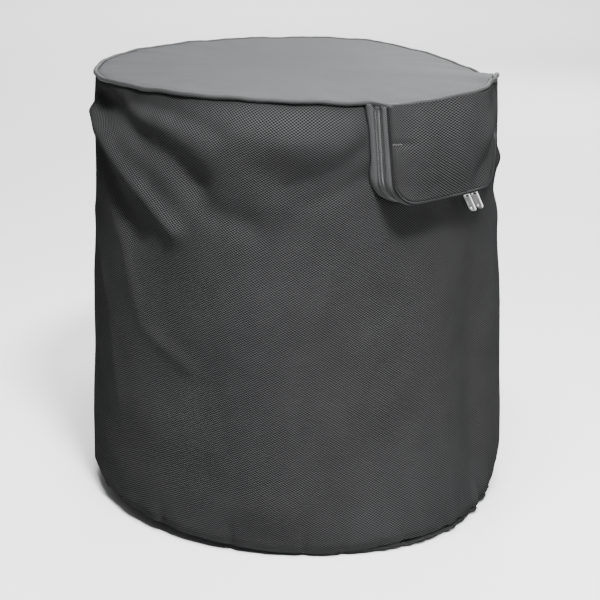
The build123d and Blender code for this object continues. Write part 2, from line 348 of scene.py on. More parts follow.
# %% [markdown]
# ## Cloth from a flat grid
# Real cloth starts flat, so each sheet starts as a flat grid whose rows and columns run along
# the weave. A function says where each point of the flat cut ends up, and the flat place is
# kept as the UV map in metres. This keeps the weave even and makes every fold deliberate.
# A simulation would crumple the cloth anywhere; moving the points by formula puts each fold
# where the cover really has it.


# %% Grid helper
def sheet_from_grid(name, cells, place, flat, close=False, material=cover_cloth):
    """A grid of cells[0] x cells[1]; place(s, t) gives (n, 3) places for s and t from 0 to 1."""
    bpy.ops.object.select_all(action="DESELECT")
    bpy.ops.mesh.primitive_grid_add(x_subdivisions=cells[0], y_subdivisions=cells[1], size=1)
    piece = bpy.context.object
    piece.name = name
    mesh = piece.data
    flat_places = np.zeros(len(mesh.vertices) * 3)
    mesh.vertices.foreach_get("co", flat_places)
    flat_places = flat_places.reshape(-1, 3)
    s, t = flat_places[:, 0] + 0.5, flat_places[:, 1] + 0.5
    while mesh.uv_layers:
        mesh.uv_layers.remove(mesh.uv_layers[0])
    layer = mesh.uv_layers.new(name="cloth")
    corner_of = np.zeros(len(mesh.loops), int)
    mesh.loops.foreach_get("vertex_index", corner_of)
    if callable(flat):
        uv = np.stack(flat(s, t), axis=-1)
    else:
        uv = np.stack([s * flat[0], t * flat[1]], axis=-1)
    layer.data.foreach_set("uv", uv[corner_of].ravel())
    mesh.vertices.foreach_set("co", place(s, t).ravel())
    if close:
        weld(piece)
    mesh.materials.append(material)
    mesh.polygons.foreach_set("use_smooth", [True] * len(mesh.polygons))
    mesh.update()
    return piece


def weld(piece, distance=0.02 * MM):
    """Joins the points that meet where a grid closes on itself."""
    work = bmesh.new()
    work.from_mesh(piece.data)
    bmesh.ops.remove_doubles(work, verts=work.verts, dist=distance)
    work.to_mesh(piece.data)
    work.free()


def face_outwards(piece, inside):
    """Turns the whole sheet round if most of its faces look towards a point inside."""
    work = bmesh.new()
    work.from_mesh(piece.data)
    inward = sum((f.calc_center_median() - inside).dot(f.normal) < 0 for f in work.faces)
    if inward > len(work.faces) / 2:
        bmesh.ops.reverse_faces(work, faces=work.faces)
    work.to_mesh(piece.data)
    work.free()


def thicken(piece, thickness, offset=-1.0):
    """Gives a sheet its thickness, inwards from the face that shows."""
    wall = piece.modifiers.new("thickness", "SOLIDIFY")
    wall.thickness = thickness
    wall.offset = offset
    bpy.context.view_layer.objects.active = piece
    bpy.ops.object.modifier_apply(modifier=wall.name)


def finish_piece(piece, body, slot, *replaced):
    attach(piece, body)
    if replaced:
        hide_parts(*replaced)
    print(piece.name, "faces", len(piece.data.polygons))


# %% [markdown]
# ## How the wall hangs
# The wall is a slightly flared tube, and its folds make it cloth. Each fold is a line on the
# cloth, from one angle and height to the next, with a width and a depth. Long slanting folds
# fall from the top seam on one side, wide soft bands run down the front, and a full,
# rounded shoulder sits under the seam next to the hood.

# %% Fold lines
# angle and height in mm of the points of each line, then its width and its depth in mm
FOLDS = [
    ([(-93, 468), (-78, 459), (-62, 446)], 7, -2.6),
    ([(-118, 462), (-100, 448), (-77, 417), (-69, 398)], 12, -7.0),
    ([(-119, 440), (-101, 408), (-87, 373), (-76, 341)], 9, 6.0),
    ([(-118, 412), (-103, 372), (-92, 332)], 14, -6.0),
    ([(-111, 384), (-96, 315), (-88, 231), (-72, 198)], 7, 1.5),
    ([(-120, 330), (-104, 240), (-98, 140)], 8, 1.2),
    ([(-84, 352), (-80, 280), (-78, 190)], 34, -4.5),
    ([(-72, 392), (-64, 368), (-54, 356)], 11, -3.2),
    ([(-62, 420), (-50, 388), (-30, 372)], 16, 1.8),
    ([(-25, 436), (-33, 412), (-44, 396)], 7, -1.8),
    ([(-24, 408), (-31, 392), (-40, 380)], 6, -1.3),
    ([(28, 392), (38, 386), (52, 380)], 9, 4.0),
    ([(30, 352), (44, 346), (58, 352)], 9, -1.6),
    ([(36, 330), (50, 300), (56, 240)], 12, 1.3),
    ([(96, 462), (110, 432), (116, 380)], 11, -4.5),
    ([(104, 440), (124, 400), (128, 330)], 9, 3.6),
    ([(150, 468), (138, 430), (142, 350)], 12, -3.8),
    ([(-170, 464), (-156, 428), (-150, 360)], 11, -4.2),
    ([(-146, 462), (-142, 420), (-146, 350)], 10, 2.2),
    ([(72, 468), (80, 420), (76, 340)], 12, -3.4),
]
# middle and width in degrees, depth in mm of the long bands
BANDS = [(-50, 11, 2.6), (-23, 9, -3.0), (-4, 8, 2.4), (15, 7, -3.0), (33, 8, 2.6)]
BANDS += [(62, 9, -2.6), (86, 10, 2.4), (112, 10, -2.4), (140, 11, 2.6), (168, 9, -2.2)]
BANDS += [(-152, 10, 2.4), (-124, 9, 0.6)]
FOLD_SCALE = 1.35
BAND_SCALE = 2.4
print(len(FOLDS), "folds and", len(BANDS), "bands")


# %% The pulled rim and the spread foot
RIM_PULL = 8.5 * MM
FOOT_FLARE = 15.0 * MM
RIM_SPREAD = 9.0 * MM
RIM_DIP = 18.0 * MM
SHOULDER_OUT = 15.0 * MM


def mound(degrees, middle, width):
    """A hill round the cover, with its middle and its width in degrees."""
    return hill(turn_gap(degrees, middle), 0, width)


def rim_pull(degrees):
    """The rim is drawn in along one side, where the cloth below it hangs full."""
    c = turn_gap(degrees, CAMERA_AT)
    return -RIM_PULL * ease((c + 74) / 26) * ease((20 - c) / 26)


def foot_flare(degrees):
    """On one side the cover's foot spreads out over the floor."""
    return FOOT_FLARE * mound(turn_gap(degrees, CAMERA_AT), 34, 25)


def rim_spread(degrees):
    """Beside the hood's right corner the rim runs straight on into the circle."""
    d = turn_gap(degrees, 0)
    return RIM_SPREAD * ease((d - 12) / 8) * (1 - ease((d - 24) / 16))


# %% The rim's height
def rim_height(degrees):
    """The rim rises and dips a little on its way round."""
    c = turn_gap(degrees, CAMERA_AT)
    dip = -RIM_DIP * ease((c - 72) / 30) * ease((165 - c) / 60)
    dip = dip - 2.0 * MM * mound(c, 22, 16) + 3.0 * MM * mound(c, 66, 9)
    rise = 2.0 * MM * mound(c, -30, 22)
    a = np.radians(degrees)
    return dip + rise + 0.4 * MM * np.sin(a * 17) + 0.3 * MM * np.sin(a * 31 + 2)


def hang(degrees, z):
    """The cloth near the top follows the rim up and down."""
    return z + rim_height(degrees) * ease((z - 0.36) / 0.11)


# %% The wall's radius at any place
def fold_line(degrees, z, line, width, depth):
    """A rounded ridge or valley along a line of points on the wall."""
    nearest = np.full(np.shape(degrees), 1e9)
    for (a0, z0), (a1, z1) in zip(line, line[1:]):
        u = np.radians(turn_gap(degrees, a0)) * TOP_R
        v = z - z0 * MM
        du = math.radians(a1 - a0) * TOP_R
        dv = (z1 - z0) * MM
        along = np.clip((u * du + v * dv) / (du * du + dv * dv), 0, 1)
        nearest = np.minimum(nearest, np.hypot(u - along * du, v - along * dv))
    return depth * MM * np.exp(-((nearest / (width * MM)) ** 2))


def noise_at(places, size, seed):
    """Smooth noise at each place, with lumps of about the given size."""
    points = places / size + seed
    values = [noise.noise(Vector(p)) for p in points.reshape(-1, 3)]
    return np.array(values).reshape(places.shape[:-1])


def wall_radius(degrees, z):
    """Radius of the hanging wall, with every fold in it."""
    degrees, z = np.broadcast_arrays(np.asarray(degrees, float), np.asarray(z, float))
    soft = np.zeros(z.shape)
    for line, width, depth in FOLDS:
        soft += fold_line(degrees, z, line, FOLD_SCALE * width, FOLD_SCALE * depth)
    for middle, width, depth in BANDS:
        fall = ease((0.36 - z) / 0.12) * ease((z - 0.01) / 0.05)
        soft += BAND_SCALE * depth * MM * mound(degrees, middle, width) * fall
    shoulder = mound(degrees, CAMERA_AT, 15) * hill(z, 0.440, 0.027)
    soft += SHOULDER_OUT * shoulder
    soft += 2.0 * MM * hill(z, 0.43, 0.028) * (1 - shoulder)
    places = around(degrees, straight_wall(z), z)
    soft += 1.3 * MM * noise_at(places, 0.075, 3.1)
    soft += 0.5 * MM * noise_at(places * [1, 1, 0.6], 0.022, 9.4)
    pucker = np.sin(np.radians(degrees) * 96 + 3 * np.sin(np.radians(degrees) * 7))
    soft += 0.5 * MM * pucker * ease((z - 0.445) / 0.03)
    soft *= ease((HEIGHT - 2 * PIPE_R - z) / 0.018)
    soft += rim_pull(degrees) * ease((z - 0.444) / 0.032)
    soft += rim_spread(degrees) * ease((z - 0.38) / 0.08)
    soft += foot_flare(degrees) * (1 - ease(z / 0.13))
    return straight_wall(z) + soft


# %% [markdown]
# ## The hood's outline
# Seen from the front the hood is a U with rounded lower corners. Its sides run straight back
# to the wall, so one outline in the X and Z plane serves the opening in the wall, the two
# gusset strips, the zip and the front. A signed distance tells how far a point is outside it.


# %% Outline helpers
LEAN_RIGHT, LEAN_LEFT = 11.0 * MM, 5.0 * MM
LIFT_RISE = 23 * MM
LIFT_FROM = 44 * MM


def hood_half(z):
    """Half the hood's width at a height."""
    return HALF_LOW + (HALF_TOP - HALF_LOW) * (z - HOOD_Z) / (HEIGHT - HOOD_Z)


def outside_hood(x, z):
    """Distance outside the hood's outline, below 0 inside it."""
    side = np.abs(x) - hood_half(z) + CORNER
    below = HOOD_Z - z + CORNER
    corner = np.hypot(np.maximum(side, 0), np.maximum(below, 0))
    return corner + np.minimum(np.maximum(side, below), 0) - CORNER


SIDE_RUN = HOOD_TOP - HOOD_Z - CORNER
TURN_RUN = math.pi / 2 * CORNER
LOW_RUN = 2 * (HALF_LOW - CORNER)
HOOD_RUN = 2 * SIDE_RUN + 2 * TURN_RUN + LOW_RUN


def hood_outline(run):
    """x, z and the outward direction at a length along the U, from its top left end."""
    run = np.asarray(run, float)
    left = run < HOOD_RUN / 2
    d = np.where(left, run, HOOD_RUN - run)
    turn = np.clip((d - SIDE_RUN) / CORNER, 0, math.pi / 2)
    z = np.where(d < SIDE_RUN, HOOD_TOP - d, HOOD_Z + CORNER - CORNER * np.sin(turn))
    x = hood_half(np.maximum(z, HOOD_Z + CORNER)) - CORNER + CORNER * np.cos(turn)
    x = x - np.maximum(d - SIDE_RUN - TURN_RUN, 0)
    out_x, out_z = np.cos(turn), -np.sin(turn)
    sign = np.where(left, -1.0, 1.0)
    return x * sign, z, out_x * sign, out_z


def hood_lean(x, depth):
    """The hood stands fuller on its left and lies flatter on its right."""
    degrees = np.degrees(np.arctan2(x, TOP_R))
    right = -LEAN_RIGHT * ease((degrees - 10) / 12)
    left = LEAN_LEFT * ease((-degrees - 4) / 14)
    return (right + left) * np.clip(depth, 0, 1.1)


def hood_lift(x, z):
    """The lower right corner is drawn up into a large soft curve."""
    right = np.clip((x - LIFT_FROM) / (HALF_TOP - LIFT_FROM), 0, 1.1)
    return LIFT_RISE * right**2 * np.clip(1 - (z - HOOD_Z) / 0.085, 0, 1)


def hood_place(x, z, depth, radius=None):
    """A place on the hood: depth 0 is at the wall, 0.5 at the zip and 1 at the front."""
    z = z + hood_lift(x, z)
    if radius is None:
        radius = straight_wall(z) + (front_radius(z) - straight_wall(z)) * depth
    radius = radius + hood_lean(x, depth)
    return np.stack([x, -np.sqrt(np.maximum(radius**2 - x**2, 0)), z], axis=-1)


print("zip length along the hood:", round(HOOD_RUN, 3), "m")

# %% [markdown]
# ## The wall
# The wall is one length of cloth, closed at the back. The grid is wrapped round, the part
# behind the hood is cut away along the outline, and the cut edge turns in as a sewn edge
# does. Its lower edge rolls under, and it hangs a little higher on one side.

# %% Wall shape
WALL_CUT = (2 * math.pi * TOP_R * 1.05, HEIGHT)


def wall_foot(degrees):
    """Height of the wall's lower edge. On one side it hangs over the hem and hides it."""
    c = turn_gap(degrees, CAMERA_AT)
    clear_of_hem = np.maximum(ease((c - 4) / 26), ease((-130 - c) / 20))
    return (3.0 + 7.5 * clear_of_hem) * MM


def hem_lift(degrees):
    """The hem hangs higher on one side."""
    c = turn_gap(degrees, CAMERA_AT)
    rise = ease((12 - c) / 80) * ease((c + 160) / 60)
    return 15 * MM * rise + 2.5 * MM * hill(c, 90, 22)


# the angles of the sharp tucks, in degrees
TUCKS = [-40, -30, -21, -14, -7, -1, 5, 12, 17, 25, 31, 38, 47, 55, 61, 72, 80, 91, 99, 112]
TUCKS += [121, 130, 144, 152, 163, 171, 183, 192, 204, 214, 221, 236, 249, 262, 280, 301]


def hem_ruffle(degrees, amount):
    """Gathers made by the elastic: uneven waves and sharp tucks round the hem."""
    a = np.radians(degrees)
    tucks = sum(mound(degrees, tuck, 1.0) for tuck in TUCKS)
    waves = np.sin(a * 29 + 1.3 * np.sin(a * 5)) + 0.7 * np.sin(a * 47 + 2 * np.sin(a * 3 + 1))
    share = 0.55 + 0.45 * np.sin(a * 2 + 0.4)
    return amount * (waves * share - 1.9 * tucks)


def wall_place(s, t):
    """The wall with its rolled lower edge, its turned top edge and the seam at the back."""
    degrees = (s - 0.5) * 360
    low = wall_foot(degrees) + hem_lift(degrees)
    z = low + (HEIGHT - 1.6 * PIPE_R - low) * t
    near_hem = 1 - ease((z - low) / 0.045)
    roll = 1 - ease((z - low) / 0.014)
    radius = wall_radius(degrees, z)
    radius = radius + hem_ruffle(degrees, 1.3 * MM) * near_hem - 3.0 * MM * roll**2
    top_turn = ease((z - (HEIGHT - 3.4 * PIPE_R)) / (1.6 * PIPE_R))
    radius = radius - 2.4 * MM * top_turn
    seam = np.abs(turn_gap(degrees, 180)) * math.radians(1) * TOP_R
    radius = radius - 1.2 * MM * np.exp(-((seam / (1.2 * MM)) ** 2))
    radius = radius + 0.7 * MM * ease((8 * MM - seam) / (1.5 * MM))
    return around(degrees, radius, hang(degrees, z))


cover_wall = sheet_from_grid("cover_wall", (440, 150), wall_place, WALL_CUT, close=True)


# %% Cut the opening behind the hood
def outside_opening(x, z):
    """Distance outside the lifted outline."""
    plain = z
    for _ in range(3):
        plain = z - float(hood_lift(x, plain))
    return float(outside_hood(x, plain))


def cut_opening(piece):
    """Removes the faces inside the outline and draws the cut edge onto it."""
    work = bmesh.new()
    work.from_mesh(piece.data)
    gone = []
    for face in work.faces:
        middle = face.calc_center_median()
        if middle.y < 0 and outside_opening(middle.x, middle.z) < 1.2 * MM:
            gone.append(face)
    bmesh.ops.delete(work, geom=gone, context="FACES")
    edge = {v for e in work.edges if e.is_boundary for v in e.verts}
    for v in work.verts:
        if v.co.y > 0 or v.co.z > HEIGHT:
            continue
        gap = outside_opening(v.co.x, v.co.z)
        if v in edge and gap < 6 * MM:
            step = 0.01 * MM
            gx = outside_opening(v.co.x + step, v.co.z) - outside_opening(v.co.x - step, v.co.z)
            gz = outside_opening(v.co.x, v.co.z + step) - outside_opening(v.co.x, v.co.z - step)
            size = math.hypot(gx, gz) or 1
            v.co.x -= gap * gx / size
            v.co.z -= gap * gz / size
            gap = 0.0
        if gap < 7 * MM:
            radius = math.hypot(v.co.x, v.co.y)
            shrink = 1 - 2.4 * MM * math.exp(-((gap / (2.0 * MM)) ** 2)) / radius
            v.co.x *= shrink if gap > 0.5 * MM else 1
            v.co.y *= shrink
    work.to_mesh(piece.data)
    work.free()
    return len(gone)


print("faces cut away:", cut_opening(cover_wall))
face_outwards(cover_wall, Vector((0, 0, 0.24)))
finish_piece(cover_wall, "cover", "cloth", "wall_panel")

# %% [markdown]
# ## The hem
# The wall's edge is folded into a casing and the elastic in it pulls the cloth into gathers,
# so the hem is a lumpy, flattened tube rather than a neat ring. It is made as a grid whose
# rows run round the tube's section, with the gathers as uneven waves.


# %% Hem shape
HEM_CUT = (1.6, 0.056)
ELASTIC_CUT = (1.4, 0.012)


def hem_place(s, t):
    degrees = (s - 0.5) * 360
    turn = 2 * math.pi * (1.12 * t + 0.30)
    wave = hem_ruffle(degrees, 1.0)
    lift = hem_lift(degrees)
    outer = straight_wall(0.01) + foot_flare(degrees) - 4.2 * MM + 1.7 * MM * wave
    wide = 10.5 * MM - 0.9 * MM * t
    tall = 5.6 * MM + 0.7 * MM * hem_ruffle(degrees + 31, 1.0)
    radius = outer - wide + wide * np.cos(turn)
    z = tall + lift * 0.92 + tall * np.sin(turn) + 0.8 * MM * wave * np.cos(turn)
    fine = np.sin(np.radians(degrees) * 121 + 4 * np.sin(np.radians(degrees) * 9))
    radius = radius + 0.5 * MM * fine * np.cos(turn)
    return around(degrees, radius, np.maximum(z, 0.1 * MM))


hem_gather = sheet_from_grid("hem_gather", (560, 22), hem_place, HEM_CUT, close=True)
face_outwards(hem_gather, Vector((0, 0, 0.006)))
finish_piece(hem_gather, "cover", "cloth", "hem_casing")


# %% Elastic inside the hem
def elastic_place(s, t):
    degrees = (s - 0.5) * 360
    radius = straight_wall(0.01) + foot_flare(degrees) - 9 * MM - 12 * MM * t
    z = 5.6 * MM + hem_lift(degrees) * 0.92 + 0.5 * MM * hem_ruffle(degrees, 1.0)
    return around(degrees, radius, z)


hem_band = sheet_from_grid(
    "hem_band", (360, 4), elastic_place, ELASTIC_CUT, close=True, material=elastic_knit
)
thicken(hem_band, 1.2 * MM, 0)
finish_piece(hem_band, "cover", "elastic", "hem_elastic")

# %% [markdown]
# ## The top
# The top is a flat cut with a lobe that roofs the hood. Its edge is given as a radius for
# each angle, and the corners where the lobe begins are softened by averaging. The cloth sags
# slightly in the middle, the rim dips and rises, and the lobe droops at its free edge.

# %% The top's edge
EDGE_STEPS = 3600
EDGE_SOFTEN = 7  # steps to each side that are averaged at a corner


def sharp_edge(degrees):
    """Radius of the top's edge before its corners are softened."""
    a = np.abs(degrees)
    lobe = math.degrees(math.asin(HALF_TOP / FRONT_TOP_R))
    root = math.degrees(math.asin(HALF_TOP / TOP_R))
    side = HALF_TOP / np.sin(np.radians(np.clip(a, lobe, root)))
    lean = hood_lean(np.sin(np.radians(degrees)) * FRONT_TOP_R, 1.0)
    plain = np.where(a < lobe, FRONT_TOP_R + lean, np.where(a > root, TOP_R, side))
    return np.maximum(plain, TOP_R + rim_spread(degrees))


edge_angles = np.linspace(-180, 180, EDGE_STEPS, endpoint=False)
edge_table = sharp_edge(edge_angles)
for _ in range(2):
    shifts = range(-EDGE_SOFTEN, EDGE_SOFTEN + 1)
    edge_table = sum(np.roll(edge_table, k) for k in shifts) / len(shifts)
edge_angles = np.append(edge_angles, 180.0)
edge_table = np.append(edge_table, edge_table[0])


def top_edge(degrees):
    """Softened radius of the top's edge."""
    base = np.interp(turn_gap(degrees, 0), edge_angles, edge_table)
    a = np.radians(degrees)
    return base + rim_pull(degrees) + 0.5 * MM * np.sin(a * 9 + 1) + 0.35 * MM * np.sin(a * 23)


def top_place(s, t):
    """The top with its sag, its dents and the seam that turns down at the rim."""
    degrees = (s - 0.5) * 360
    share = t**0.8
    radius = (top_edge(degrees) - 1.2 * MM) * share
    sag = -3.0 * MM * (1 - share**2) ** 2
    dent = noise_at(around(degrees, radius, 0 * t), 0.11, 5.7) * 1.6 * MM * (1 - share**6)
    seam = -0.7 * MM * hill(share, 0.966, 0.006) - 2.6 * MM * ease((share - 0.978) / 0.018)
    rim = rim_height(degrees) * share**3
    return around(degrees, radius, HEIGHT - 0.6 * MM + sag + dent + seam + rim)


def top_flat(s, t):
    a = np.radians((s - 0.5) * 360)
    radius = top_edge(np.degrees(a)) * t**0.8
    return radius * np.sin(a), -radius * np.cos(a)


cover_top = sheet_from_grid(
    "cover_top", (720, 44), top_place, top_flat, close=True, material=top_cloth_painted_light
)
face_outwards(cover_top, Vector((0, 0, 0)))
finish_piece(cover_top, "cover", "cloth", "top_panel")

# %% [markdown]
# ## The piping
# The welt round the top seam is a strip of cloth folded over a cord. It follows the top's
# edge, so it is a grid swept round that edge, with the cord as a thinner one inside it.


# %% Piping
ROUND = 2 * math.pi * TOP_R
UNDER_TOP = Vector((0, 0, 0.47))


def ring_on_edge(radius_of_tube, swell):
    """A tube on the top's edge, with the slit of its folded strip on the hidden side."""

    def place(s, t):
        degrees = (s - 0.5) * 360
        turn = 2 * math.pi * (0.98 * t + 0.61)
        tube = radius_of_tube * (1 + swell * np.sin(np.radians(degrees) * 83))
        radius = top_edge(degrees) - 0.4 * MM + tube * np.cos(turn)
        z = HEIGHT - 0.95 * PIPE_R + rim_height(degrees) + tube * np.sin(turn)
        return around(degrees, radius, z)

    return place


top_piping = sheet_from_grid(
    "top_piping", (1080, 12), ring_on_edge(1.15 * PIPE_R, 0.04), (ROUND, 0.014), True, piping_cloth
)
face_outwards(top_piping, UNDER_TOP)
finish_piece(top_piping, "cover", "piping", "piping_cover")
welt_cord = sheet_from_grid(
    "welt_cord", (720, 8), ring_on_edge(0.6 * PIPE_R, 0.02), (ROUND, 0.009), True, cord_cotton
)
face_outwards(welt_cord, UNDER_TOP)
finish_piece(welt_cord, "cover", "cord", "piping_cord")

# %% [markdown]
# ## The gusset
# The hood's sides and underside are a narrow strip of cloth, split along its middle by the
# zip. Each half is a grid run along the U, and its long edges turn in at the seams, which
# leaves the dark line that a sewn seam has. The inner half belongs to the cover.

# %% Places along the gusset
ZIP_HALF_GAP = 0.5 * MM
TAPE_HALF = 6.0 * MM
TAPE_OVERLAP = 2.6 * MM
TAPE_HIDDEN = 1.5 * MM
STRIP_THICK = 0.9 * MM


def gusset_strip(first, last, curl_first, curl_last, puff):
    """A strip along the U between two offsets from the zip's middle."""

    def place(s, t):
        x, z, out_x, out_z = hood_outline(s * HOOD_RUN)
        near, far = first(x, z), last(x, z)
        middle = zip_radius(z)
        radius = near + (far - near) * t
        rise = puff * np.sin(math.pi * t) - curl_first * np.exp(-((t / 0.12) ** 2))
        rise = rise - curl_last * np.exp(-(((1 - t) / 0.12) ** 2))
        depth = 0.5 + (radius - middle) / (front_radius(z) - straight_wall(z))
        return hood_place(x + out_x * rise, z + out_z * rise, depth, radius)

    return place


def at_wall(x, z):
    degrees = np.degrees(np.arctan2(x, np.sqrt(straight_wall(z) ** 2 - x**2)))
    return wall_radius(degrees, z) - 3.0 * MM


def from_zip(offset):
    return lambda x, z: zip_radius(z) + offset


def at_front(x, z):
    return front_radius(z) - 0.4 * MM


def bend_with_flap(piece, slot, *replaced):
    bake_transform(piece)
    if replaced:
        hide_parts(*replaced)
    print(piece.name, "faces", len(piece.data.polygons))


INSIDE_HOOD = Vector((0, -0.22, 0.45))
gusset_inner = sheet_from_grid(
    "gusset_inner",
    (230, 14),
    gusset_strip(at_wall, from_zip(-TAPE_HALF + TAPE_OVERLAP), 0.6 * MM, 1.8 * MM, 2.2 * MM),
    (HOOD_RUN, 0.012),
    material=strip_cloth,
)
face_outwards(gusset_inner, INSIDE_HOOD)
thicken(gusset_inner, STRIP_THICK)
finish_piece(gusset_inner, "cover", "cloth", "gusset_fixed")

gusset_outer = sheet_from_grid(
    "gusset_outer",
    (230, 14),
    gusset_strip(from_zip(TAPE_HALF - TAPE_OVERLAP), at_front, 1.8 * MM, 1.6 * MM, 2.2 * MM),
    (HOOD_RUN, 0.010),
    material=strip_cloth,
)
face_outwards(gusset_outer, INSIDE_HOOD)
thicken(gusset_outer, STRIP_THICK)
bend_with_flap(gusset_outer, "cloth", "flap_gusset")

# %% [markdown]
# ## The hood's front
# The front is a piece of the same cloth with rounded lower corners. Each row of the grid is
# as wide as the outline is at that height, so the edge stays smooth. The cloth is full in the
# middle, turns in sharply at the seam all round, and has a soft dent low on its right.


# %% Front shape
def row_half(z):
    """Half width of the outline at a height, with the rounded corners."""
    up = np.clip(z - HOOD_Z, 0, CORNER)
    corner = np.sqrt(np.maximum(CORNER**2 - (CORNER - up) ** 2, 0))
    rounded = hood_half(HOOD_Z + CORNER) - CORNER + corner
    return np.where(z < HOOD_Z + CORNER, rounded, hood_half(z))


def front_soft(x, z):
    """Radius of the front with its fullness, its turned edge and its dents."""
    inside = np.maximum(-outside_hood(x, z), 0)
    flat = np.stack([x, 0 * x, z], axis=-1)
    slant = z - 0.55 * (x - 50 * MM)
    radius = front_radius(z) + 2.4 * MM * ease(inside / 0.03)
    radius = radius + 7.0 * MM * hill(z, 0.437, 0.034) * hill(x, -0.012, 0.075)
    radius = radius - 3.0 * MM * np.exp(-((inside / (1.6 * MM)) ** 2))
    radius = radius - 7.0 * MM * hill(slant, 0.409, 0.015) * ease((x - 6 * MM) / 0.03)
    radius = radius + 3.0 * MM * hill(slant, 0.440, 0.014) * ease((x - 20 * MM) / 0.03)
    radius = radius - 1.6 * MM * hill(z, 0.441, 0.004) * ease((-x - 58 * MM) / 0.012)
    return radius + 1.0 * MM * noise_at(flat, 0.034, 2.2) + 0.35 * MM * noise_at(flat, 0.011, 6.2)


def front_place(s, t):
    z = HOOD_TOP + 2.0 * MM - (HOOD_TOP + 1.4 * MM - HOOD_Z) * (1 - t) ** 1.25
    across = np.sin((2 * s - 1) * math.pi / 2 * 0.92) / math.sin(math.pi / 2 * 0.92)
    x = across * (row_half(z) - 0.6 * MM)
    return hood_place(x, z, 1.0, front_soft(x, z))


def front_flat(s, t):
    z = HOOD_TOP - (HOOD_TOP - HOOD_Z) * (1 - t) ** 1.25
    return (2 * s - 1) * row_half(z), z


flap_front = sheet_from_grid("flap_front", (150, 96), front_place, front_flat)
face_outwards(flap_front, Vector((0, 0, 0.43)))
thicken(flap_front, 1.2 * MM)
bend_with_flap(flap_front, "cloth", "flap_panel")


# %% Welt round the front's seam
WELT_R = 1.0 * MM


def front_welt(s, t):
    x, z, out_x, out_z = hood_outline(s * HOOD_RUN)
    turn = 2 * math.pi * (0.96 * t + 0.27)
    out = 0.1 * MM + WELT_R * np.cos(turn)
    radius = front_radius(z) - 0.2 * MM + WELT_R * np.sin(turn)
    return hood_place(x + out_x * out, z + out_z * out, 1.0, radius)


flap_welt = sheet_from_grid(
    "flap_welt", (360, 10), front_welt, (HOOD_RUN, 0.0062), material=welt_cloth
)
face_outwards(flap_welt, INSIDE_HOOD)
bend_with_flap(flap_welt, "piping")

# %% [markdown]
# ## The zip
# A coil zip is two woven tapes, each with a coil of nylon sewn along its edge. The coils mesh,
# so their turns take it by turns to cross the middle. One turn is modelled as a small rounded
# bar, and it is copied along the U for each side, half a step apart. A thread runs over each
# coil where it is sewn down.


# %% Tapes
TAPE_SUNK = 1.0 * MM


def tape_sheet(name, near, far):
    """Half of the zip's tape, sunk a little under the gusset."""
    place = gusset_strip(from_zip(near), from_zip(far), 0, 0, 0)

    def sunk(s, t):
        spots = place(s, t)
        _, _, out_x, out_z = hood_outline(s * HOOD_RUN)
        spots[:, 0] -= out_x * TAPE_SUNK
        spots[:, 2] -= out_z * TAPE_SUNK
        return spots

    cut = (HOOD_RUN, abs(far - near))
    tape = sheet_from_grid(name, (230, 6), sunk, cut, material=zip_tape_weave)
    face_outwards(tape, INSIDE_HOOD)
    thicken(tape, 0.6 * MM)
    return tape


zip_tape_inner = tape_sheet("zip_tape_inner", -TAPE_HALF - TAPE_HIDDEN, -ZIP_HALF_GAP)
finish_piece(zip_tape_inner, "cover", "zip_tape", "zip_tape_fixed")
zip_tape_outer = tape_sheet("zip_tape_outer", ZIP_HALF_GAP, TAPE_HALF + TAPE_HIDDEN)
bend_with_flap(zip_tape_outer, "zip_tape", "zip_tape_flap")

# %% One turn of the coil
COIL_STEP = 1.5 * MM
TURN_HALF_SIZE = (0.52 * MM, 1.75 * MM, 0.85 * MM)
bpy.ops.object.select_all(action="DESELECT")
bpy.ops.mesh.primitive_uv_sphere_add(segments=8, ring_count=6, radius=1)
coil_turn = bpy.context.object
coil_turn.name = "coil_turn"
bpy.ops.object.mode_set(mode="EDIT")
bpy.ops.mesh.select_all(action="SELECT")
bpy.ops.transform.resize(value=TURN_HALF_SIZE)
bpy.ops.object.mode_set(mode="OBJECT")
turn_points = np.array([v.co for v in coil_turn.data.vertices], float)
turn_faces = [tuple(p.vertices) for p in coil_turn.data.polygons]
bpy.data.objects.remove(coil_turn)
print("faces in one turn:", len(turn_faces))


# %% Copy the turns along both tapes
def coil_row(name, side):
    """The turns of one half. side is -1 for the cover's half and 1 for the flap's."""
    count = int((HOOD_RUN - 8 * MM) / COIL_STEP)
    points, faces = [], []
    for i in range(count):
        run = 4 * MM + (i + 0.25 * (side + 1)) * COIL_STEP
        x, z, out_x, out_z = (float(v) for v in hood_outline(run))
        along = np.array([-out_z, 0, out_x])
        out = np.array([out_x, 0, out_z])
        base = hood_place(np.array([x]), np.array([z]), np.array([0.5]))[0]
        across = np.array([0, -1.0, 0])
        middle = base + across * side * 1.25 * MM + out * 0.45 * MM
        tilt = turn_points[:, 0] + 0.18 * turn_points[:, 1] * side
        spots = middle + np.outer(tilt, along)
        spots = spots + np.outer(turn_points[:, 1], across) + np.outer(turn_points[:, 2], out)
        first = len(points) * len(turn_points)
        points.append(spots)
        faces += [tuple(first + k for k in face) for face in turn_faces]
    mesh = bpy.data.meshes.new(name)
    mesh.from_pydata(np.concatenate(points).tolist(), [], faces)
    mesh.polygons.foreach_set("use_smooth", [True] * len(mesh.polygons))
    mesh.materials.append(coil_nylon)
    row = bpy.data.objects.new(name, mesh)
    bpy.context.scene.collection.objects.link(row)
    work = bmesh.new()
    work.from_mesh(mesh)
    bmesh.ops.recalc_face_normals(work, faces=work.faces)
    work.to_mesh(mesh)
    work.free()
    return row


coil_inner = coil_row("coil_inner", -1)
finish_piece(coil_inner, "cover", "zip_coil", "zip_coil_fixed")
coil_outer = coil_row("coil_outer", 1)
bend_with_flap(coil_outer, "zip_coil", "zip_coil_flap")


# %% Sewing threads over the coils
THREAD_R = 0.26 * MM


